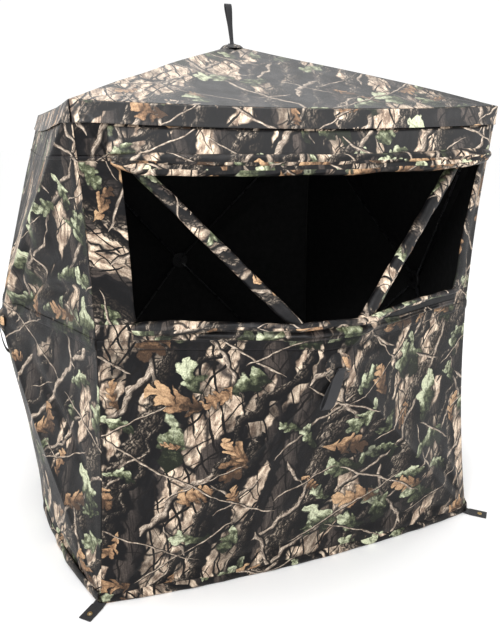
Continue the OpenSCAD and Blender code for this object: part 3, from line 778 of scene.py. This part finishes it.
def clothStrip(name, k, low, high, lift, material, start=-1.0, end=1.0, rows=8, columns=160, shift=0.0, sag=None):
    # a strip sewn on a wall between two heights; lift(a, b) is its stand-off, a along and b up the strip,
    # and sag(a) lowers its top edge
    u, z = grid(steps(start, end, columns), steps(low, high, rows))
    b = (z - low) / (high - low)
    if sag:
        z = z - sag(u) * b
    points = skinPoint(u, vOf(z), lift(u, b), k)
    along = wallPoint(u, vOf(z), k=k)[..., 0]
    uvs = packed(along + shelter["printStep"] * k + shift, z + shift * 0.6)
    return sheetMesh(name, turned(points, k), uvs, material, thickness=0.0012)


def pick(*pieces):
    bpy.ops.object.select_all(action="DESELECT")
    for piece in pieces:
        piece.select_set(True)
    bpy.context.view_layer.objects.active = pieces[0]


def joinPieces(name, *pieces):
    pick(*pieces)
    bpy.ops.object.join()
    pieces[0].name = name
    return pieces[0]


trim = {
    "valanceLow": 1.567, "valanceHem": 0.007, "seamLow": 1.460, "seamHigh": 1.473, "seamStitch": 1.470,
    "seamEnds": (-0.845, 0.885), "waistLow": 0.872, "waistHigh": 0.908, "stitchIn": 0.005, "hemHigh": 0.040,
    "hemBulge": 0.013,
}
waistStitches = (trim["waistLow"] + trim["stitchIn"], trim["waistHigh"] - trim["stitchIn"])
# the valance's copy of the cloth is made paler (value 1.75) as painted light: the glare that the upward-leaning eave
# band catches from above
valanceCamoPaintedGlare = camoMaterial("valanceCamoPaintedGlare", 1.75, 0.42, (0.73, 0.31, 0), sheen=0.6)
bandCamo = camoMaterial("waistBandCamo", stitchRows=waistStitches)
seamCamo = camoMaterial("headSeamCamo", stitchRows=(trim["seamStitch"],))


def ripple(u, count, seed, amount):
    picker = np.random.RandomState(seed)
    waves = (np.sin(u * count * picker.uniform(0.7, 1.6) * 3.1 + picker.uniform(0, folding["phase"]))
            for _ in range(4))
    return amount * sum(waves) / 4


def bands(k):
    # the valance under the eave, the waist band and the seam over the window, with their stand-offs
    name = wallNames[k]

    def valanceLift(u, b):
        hem = b < trim["valanceHem"] / (eaveH - trim["valanceLow"])
        return 0.0022 + 0.0045 * (1 - b) + 0.0014 * hem + ripple(u, 7, 60 + k, 0.0022) * (1 - b)

    def waistLift(u, b):
        return 0.0012 + 0.0026 * np.sqrt(unit(4 * b * (1 - b))) + ripple(u, 22, 70 + k, 0.0008)

    def seamLift(u, b):
        return 0.001 + 0.0022 * unit(b * 1.5) + ripple(u, 16, 80 + k, 0.0006)

    def seamStrip(name, **ends):
        return clothStrip(name, k, trim["seamLow"], trim["seamHigh"], seamLift, seamCamo, rows=4, **ends)

    valance = clothStrip(name + "Valance", k, trim["valanceLow"], eaveH - 0.0005, valanceLift, valanceCamoPaintedGlare, rows=14)
    finish(valance, k, "band_cloth", *(["eave_tape"] if k == 0 else []))
    waist = clothStrip(name + "WaistBand", k, trim["waistLow"], trim["waistHigh"], waistLift, bandCamo, rows=10,
        columns=200)
    finish(waist, k, "band_cloth")
    if k == 0:
        left, right = trim["seamEnds"]
        seam = joinPieces("frontHeadSeam", seamStrip("seamLeft", end=left, columns=20),
                seamStrip("seamRight", start=right, columns=20))
    else:
        seam = seamStrip(name + "HeadSeam")
    finish(seam, k, "band_cloth")


def bottomHem(k):
    # folded tube of cloth along the ground, with a few long slack folds
    u, a = grid(steps(-1, 1, 200), steps(0, 1, 14))
    arch = np.sin(a * np.pi)
    fat = 0.85 + ripple(u, 4, 90 + k, 0.3) + ripple(u, 11, 95 + k, 0.12)
    skew = ripple(u, 6, 97 + k, 0.5)
    z = trim["hemHigh"] * (0.5 + 0.5 * np.cos(a * np.pi)) + 0.0006
    out = trim["hemBulge"] * fat * arch ** (0.7 + 0.25 * skew)
    tuck = 0.0012 * np.sin(u * 34 + a * 4 + ripple(u, 4, 99 + k, 2.5)) * arch
    along, outEdge, _ = wallEdge(u, np.full_like(u, -1.0), k)
    fade = unit((1 - np.abs(u)) * 25)
    points = packed(along, outEdge + 0.001 + (out + tuck) * (0.35 + 0.65 * fade), z)
    uvs = packed(along + shelter["printStep"] * k + 0.23, a * 0.07 + 0.61)
    obj = sheetMesh(wallNames[k] + "Hem", turned(points, k), uvs, camo, thickness=0.0014, flip=True)
    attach(obj, "root")
    if k == 0:
        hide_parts("bottom_hem")


for k in range(4):
    bands(k)
for k in range(4):
    bottomHem(k)
print("bands and hem made")


def weld(obj, asTube=False, closeEnds=False):
    # merges the points where a ring or a pole of the grid meets itself
    pick(obj)
    bpy.ops.object.mode_set(mode="EDIT")
    bpy.ops.mesh.select_all(action="SELECT")
    bpy.ops.mesh.remove_doubles(threshold=0.00001)
    if closeEnds:
        bpy.ops.mesh.select_all(action="DESELECT")
        bpy.ops.mesh.select_non_manifold()
        bpy.ops.mesh.fill_holes(sides=0)
        bpy.ops.mesh.select_all(action="SELECT")
    if asTube:
        bpy.ops.mesh.normals_make_consistent(inside=False)
    bpy.ops.object.mode_set(mode="OBJECT")
    return obj


def runAlong(path, columns):
    # how far along its line each point lies, the same in every column
    length = np.concatenate([[0], np.cumsum(np.linalg.norm(np.diff(path, axis=0), axis=1))])
    return np.repeat(length[:, None], columns, 1)


def clothTube(name, centres, radii, uvShift, wobble, sides=40, closeEnds=True):
    # a rolled or sewn tube: rings of points round a centre line, squared to the line's own direction;
    # wobble(a, t) scales the radius, a along and t round the tube
    centres = np.asarray(centres)
    n = len(centres)
    tangent = np.gradient(centres, axis=0)
    tangent /= np.linalg.norm(tangent, axis=1)[:, None]
    up = np.array([0, 0, 1.0])
    side = np.cross(tangent, up)
    side /= np.linalg.norm(side, axis=1)[:, None]
    top = np.cross(side, tangent)
    angles = np.linspace(0, 2 * np.pi, sides + 1)
    i, j = grid(np.arange(n), np.arange(sides + 1))
    size = np.asarray(radii).reshape(n, -1)
    if size.shape[1] == 1:
        size = np.repeat(size, 2, 1)
    scale = wobble(i / (n - 1), angles[j])
    scale[:, -1] = scale[:, 0]
    wide, tall = np.cos(angles) * size[:, :1] * scale, np.sin(angles) * size[:, 1:] * scale
    points = centres[:, None] + side[:, None] * wide[..., None] + top[:, None] * tall[..., None]
    uvs = packed(runAlong(centres, sides + 1) + uvShift[0], angles[j] * np.mean(size) + uvShift[1])
    return weld(sheetMesh(name, points, uvs, rollCamo), True, closeEnds)


covers = {
    "left": -0.855, "right": 0.885, "flap": (1.480, 1.560), "flapEnds": (-0.86, 0.885), "foldZ": 1.4635,
    "beadZ": 1.4390, "sillLeft": -0.845, "sillRight": 0.865, "sillFolds": (0.907, 0.956),
    "paintedShadeStrip": (0.922, 0.9575), "rollZ": 0.956, "thinFrom": 0.12,
}
rollCamo = camoMaterial("rolledCoverCamo", 1.6, 0.44, (0.3, 0.9, 0), sheen=0.3)
# the cover flap's copy of the cloth is made paler (value 1.75) as painted light: the glare on the upper front band
# from overhead
flapCamoPaintedGlare = camoMaterial("coverFlapCamoPaintedGlare", 1.75, 0.44, (0.3, 0.9, 0), sheen=0.5)


def upperCover():
    # flap over the head, a flat fold under it and a rolled bead at the bottom, all drawn up to the left corner
    flap = clothStrip("coverFlap", 0, *covers["flap"],
        lambda u, b: 0.0035 + 0.004 * (1 - b) + ripple(u, 7, 41, 0.0015),
        flapCamoPaintedGlare, *covers["flapEnds"], rows=10, columns=150, shift=0.37)
    us = steps(covers["left"], covers["right"], 170)
    leftEnd = unit((us - covers["left"]) / 0.10) ** 0.7
    rightEnd = unit((covers["right"] - us) / 0.16) ** 0.7
    ends = leftEnd * rightEnd

    def line(z, lift):
        return turned(skinPoint(us, vOf(z), lift), 0)

    foldZ = covers["foldZ"] + ripple(us, 3, 43, 0.002)
    foldSize = packed(0.019 + 0.004 * ends, np.full_like(us, 0.0225)) * (0.5 + 0.5 * ends)[:, None]
    fold = clothTube("coverFold", line(foldZ, 0.012), foldSize, (0.1, 0.35),
        lambda a, t: 1 + 0.05 * np.sin(a * 40 + t * 2) * np.sin(t) + 0.06 * np.sin(t * 3 + a * 9))
    beadZ = covers["beadZ"] + 0.020 * (1 - leftEnd) + 0.022 * (1 - rightEnd) + ripple(us, 4, 44, 0.0025)
    beadSize = (0.0185 + ripple(us, 6, 45, 0.0018)) * (0.22 + 0.78 * ends)
    bead = clothTube("coverBead", line(beadZ, 0.015), beadSize, (0.45, 0.8),
        lambda a, t: 1 + 0.05 * np.sin(t * 2 + a * 31) + 0.04 * np.sin(t * 5 - a * 57))
    finish(joinPieces("upperWindowCover", flap, fold, bead), 0, "camo_cloth", "upper_window_cover")


def sillCover():
    # loose folds over the sill, a black strip of painted shade behind them where they sag, then the roll that lies
    # on them, fat at the left and thin at the right
    left, right, thinFrom = covers["sillLeft"], covers["sillRight"], covers["thinFrom"]

    def thinning(u):
        return unit((u - thinFrom) / 0.3)

    def foldLift(u, b):
        slack = 0.6 + 0.4 * np.cos((u + 0.15) * 2.2) + ripple(u, 5, 51, 0.25)
        waves = 0.5 - 0.5 * np.cos(b * 2 * np.pi * 1.5 + ripple(u, 3, 52, 1.2))
        return 0.003 + 0.015 * slack * waves * np.sin(np.pi * unit(b)) ** 0.6

    folds = clothStrip("sillFolds", 0, *covers["sillFolds"], foldLift, rollCamo, -0.84, 0.87, 28, 180, 0.55,
        sag=lambda u: 0.030 * thinning(u))
    # a black strip behind the sagging folds and under the thin end of the roll: painted shade of the gap between
    # them
    paintedShadeStrip = clothStrip("sillPaintedShadeStrip", 0, *covers["paintedShadeStrip"], lambda u, b: 0.0012, innerBlack, thinFrom, 0.86, 6, 60)
    us = steps(left, right, 180)
    leftEnd = unit(1 - (us - left) / 0.42)
    thin = thinning(us)
    ends = unit((us - left) * 18) ** 0.6 * unit((right - us) * 22) ** 0.6
    centreZ = covers["rollZ"] - 0.006 * leftEnd + 0.006 * thin + ripple(us, 4, 53, 0.002)
    size = (0.0125 + 0.014 * leftEnd ** 0.8 - 0.003 * thin + ripple(us, 7, 54, 0.001)) * (0.4 + 0.6 * ends)
    centres = turned(skinPoint(us, vOf(centreZ), 0.012 + 0.010 * leftEnd - 0.004 * thin), 0)
    roll = clothTube("sillRoll", centres, size, (0.2, 0.15),
        lambda a, t: 1 + 0.07 * np.sin(t * 2 + a * 37) + 0.05 * np.sin(t * 4 - a * 61))
    finish(joinPieces("sillCover", folds, paintedShadeStrip, roll), 0, "camo_cloth", "lower_window_cover")


upperCover()
sillCover()

sleeve = {"radius": 0.0205, "from": 0.11, "to": 0.83, "rings": 72, "inY": 0.0047, "inZ": 0.005}


def poleSleeve(side, name):
    # cloth tube round an upper front pole, from behind the sill to behind the rolled cover
    low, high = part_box("front_pole_top_" + name)
    nearX, farX = (low[0], high[0]) if side > 0 else (high[0], low[0])
    start = np.array([nearX, low[1] + sleeve["inY"], low[2] + sleeve["inZ"]])
    end = np.array([farX, high[1] - sleeve["inY"], high[2] - sleeve["inZ"]])
    places = np.linspace(sleeve["from"], sleeve["to"], sleeve["rings"])
    size = sleeve["radius"] * (1 + 0.03 * np.sin(places * 60 + side))
    tube = clothTube("poleSleeve" + name.capitalize(), start + (end - start) * places[:, None], size,
        (0.7 + side * 0.4, 0.3), lambda a, t: 1 + 0.03 * np.sin(t * 3 + a * 21) + 0.025 * np.sin(t * 2 - a * 47),
        sides=36, closeEnds=False)
    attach(tube, "front_pole_top_" + name + "_body")
    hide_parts("front_sleeve_" + name)


poleSleeve(1, "right")
poleSleeve(-1, "left")
print("covers and sleeves made")

hubPatch = {
    "radius": 0.05, "crown": 0.0035, "washer": 0.027, "fall": 30, "lift": 0.0006, "puff": 0.0016, "edge": 0.004,
    "dish": 0.002, "sides": 48,
}


def hubCover(k):
    # round cloth patch sewn over a hub's washer: flat over the washer, then falling to the panel
    radius, washer = hubPatch["radius"], hubPatch["washer"]
    radii = np.concatenate([steps(0, washer, 5), steps(washer, radius, 9)[1:]])
    r, a = grid(radii, steps(0, 2 * np.pi, hubPatch["sides"]))
    x, y = r * np.cos(a), r * np.sin(a)
    lift = hubPatch["lift"] + hubPatch["puff"] * unit((radius - r) / hubPatch["edge"]) ** 0.5
    disc = hubPatch["crown"] - hubPatch["fall"] * unit(r - washer) ** 2
    if k < 4:
        points = skinPoint(x / half, y / hubH, lift, k)
        points[..., 1] = np.maximum(points[..., 1], wallPeak + disc - hubPatch["dish"] * (r / radius))
        points, uvs = turned(points, k), packed(x + 0.37 * k + 0.9, y + 0.5)
    else:
        (px, py, pz), _, _ = conePoint(x / half, y / half, (0, 0, roofPeak), roofEdge)
        points, uvs = packed(px, py, np.maximum(pz + lift, roofPeak + disc)), packed(x + 5, y + 5)
    patch = sheetMesh(panelNames[k] + "HubPatch", points, uvs, rollCamo if k < 4 else roofCamo, flip=k == 4)
    finish(weld(patch), k, "camo_cloth")


for k in range(5):
    hubCover(k)

# loop of webbing on each hub's bar: half of its outline as (away from the bar, to one side)
strapLoop = {
    "bar": [(-0.005, 0), (-0.0036, 0.0036), (0.001, 0.0048), (0.006, 0.003), (0.013, 0.0011)],
    "wall": [(0.024, 0.0014), (0.048, 0.006), (0.08, 0.0105), (0.108, 0.011), (0.125, 0.0075), (0.131, 0)],
    "roof": [(0.04, 0.0012), (0.075, 0.0022), (0.105, 0.007), (0.133, 0.0105), (0.151, 0.0085), (0.1585, 0)],
    "narrow": {"wall": 0.0125, "roof": 0.0075}, "widens": 0.0065, "cup": 0.0007, "thick": 0.0016,
    "flat": {"wall": 0.037, "roof": 0.0225}, "inBar": 0.0025,
    "lean": {"front": -0.36, "right": 0.12, "back": -0.15, "left": 0.2, "roof": -0.10},
    "tuck": {"front": -0.10, "right": -0.06, "back": -0.12, "left": -0.34, "roof": 0.04},
}
wallBar = -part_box("front_hub_fasteners")[0][1] - strapLoop["inBar"]
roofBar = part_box("roof_hub_fasteners")[1][2] - strapLoop["inBar"]


def strapRibbon(name):
    kind = "roof" if name == "roof" else "wall"
    side = np.array(strapLoop["bar"] + strapLoop[kind])
    outline = np.concatenate([side, side[-2:0:-1] * (1, -1), side[:1]])
    closed = np.concatenate([outline[-4:-1], outline, outline[1:4]])
    fine = np.linspace(3, len(closed) - 4, 130)  # a smooth curve through the outline's points
    i = np.clip(fine.astype(int), 1, len(closed) - 3)
    f = (fine - i)[:, None]
    p0, p1, p2, p3 = closed[i - 1], closed[i], closed[i + 1], closed[i + 2]
    second, third = 2 * p0 - 5 * p1 + 4 * p2 - p3, 3 * p1 - p0 - 3 * p2 + p3
    path = 0.5 * (2 * p1 + (p2 - p0) * f + second * f**2 + third * f**3)
    away, aside = path[:, :1], path[:, 1:]
    wide = strapLoop["narrow"][kind] + strapLoop["widens"] * unit(away / away.max() if kind == "roof" else away * 30)
    across = np.linspace(-1, 1, 9)
    reach = unit(away)
    x = strapLoop["lean"][name] * reach + wide * across
    out = aside + strapLoop["cup"] * (1 - across**2) * np.sign(aside) + strapLoop["tuck"][name] * reach**1.15
    d = np.repeat(away, 9, 1)
    if kind == "roof":
        points = packed(x, out, roofBar + d)
    else:
        points = turned(packed(x, wallBar + out, hubH - d), wallNames.index(name))
    length = runAlong(path, 9)
    obj = sheetMesh(name + "PullLoop", points, packed(length, x), webbingBlack, thickness=strapLoop["thick"])
    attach(obj, name + "_strap_body")
    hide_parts(name + "_pull_strap")


for name in panelNames:
    strapRibbon(name)

stakeTab = {
    "wide": 0.021, "thick": 0.0022, "run": [1.030, 1.048, 1.062, 1.069, 1.0735, 1.0755],
    "rise": [0.0075, 0.0072, 0.0052, 0.0034, 0.0028, 0.0026], "corners": [(-1, -1), (1, -1), (1, 1), (-1, 1)],
    "grommetAt": 0.7892, "grommet": 0.0091, "bore": 0.0061, "top": 0.0041, "bottom": 0.0009, "weave": 2600,
}


def stakeRoot(k):
    # the tab's webbing where it comes out from under the corner of the hem
    along, aside = grid(stakeTab["run"], steps(-stakeTab["wide"], stakeTab["wide"], 6))
    dx, dy = np.array(stakeTab["corners"][k]) / math.sqrt(2)
    rise = np.repeat(np.array(stakeTab["rise"])[:, None], 7, 1)
    points = packed(along * dx - aside * dy, along * dy + aside * dx, rise)
    obj = sheetMesh("stakeRoot" + str(k), points, packed(along, aside), webbingBlack,
        thickness=stakeTab["thick"])
    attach(obj, "root")


for k in range(4):
    stakeRoot(k)
print("hub patches, straps and stake roots made")


def stakeTabMaterial():
    # webbing with a pressed brass grommet round the hole near its tip
    material, t, skin = newMaterial("stakeTab")
    place = t.node("ShaderNodeTexCoord").outputs["Object"]
    x, y, z = t.split(place)
    offX, offY = (t.minus(t.math("ABSOLUTE", side), stakeTab["grommetAt"]) for side in (x, y))
    radius = t.vector("LENGTH", t.join(offX, offY))
    disc = t.math("LESS_THAN", radius, stakeTab["grommet"])
    bore = t.math("LESS_THAN", radius, stakeTab["bore"])
    face = t.math("MAXIMUM", t.math("GREATER_THAN", z, stakeTab["top"]), t.math("LESS_THAN", z, stakeTab["bottom"]))
    brass = t.times(disc, t.math("MAXIMUM", bore, face))
    weave = t.math("SINE", t.times(t.plus(x, y), stakeTab["weave"]))
    worn = t.noise(place, 220, 3, solid=True)
    fibres = t.math("MULTIPLY_ADD", weave, 0.18, worn)
    webbing = t.ramp(fibres, [(0.3, (0.008, 0.008, 0.009)), (0.8, (0.03, 0.03, 0.033))])
    metal = t.ramp(worn, [(0.3, (0.30, 0.20, 0.08)), (0.7, (0.55, 0.40, 0.18))])
    t.plug(t.mix(brass, webbing, metal), skin.inputs["Base Color"])
    t.plug(brass, skin.inputs["Metallic"])
    t.plug(t.math("MULTIPLY_ADD", brass, -0.35, 0.68), skin.inputs["Roughness"])
    t.bump(t.math("MULTIPLY_ADD", weave, 0.5, worn), 0.5, 0.0003, skin)
    return material


# floor
ground = {"size": 160, "drop": 0.0005, "paint": (0.95, 0.95, 0.95), "rough": 0.8}
bpy.ops.mesh.primitive_plane_add(size=ground["size"], location=(0, 0, -ground["drop"]))
floor = bpy.context.object
floor.name = "floor"
floor.data.materials.append(plainMaterial("paleFloor", ground["paint"], ground["rough"], 0.0, 3, 0.0, 0.02))

# the frame's own pieces by a part of their name; a later row goes over an earlier one
looks = {
    "_hub": blackPlastic, "_hub_fasteners": steel, "_pull_strap": webbingBlack, "boots": blackPlastic,
    "_pole_": poleBlack, "piping": piping, "zip": blackPlastic, "slider": zinc, "stake": stakeTabMaterial(),
    "ties": webbingBlack, "sleeve": camo, "cover": camo, "tape": piping, "hem": camo,
}
for name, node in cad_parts.items():
    for key, material in looks.items():
        if key in name:
            node.data.materials.clear()
            node.data.materials.append(material)
print("frame pieces painted")
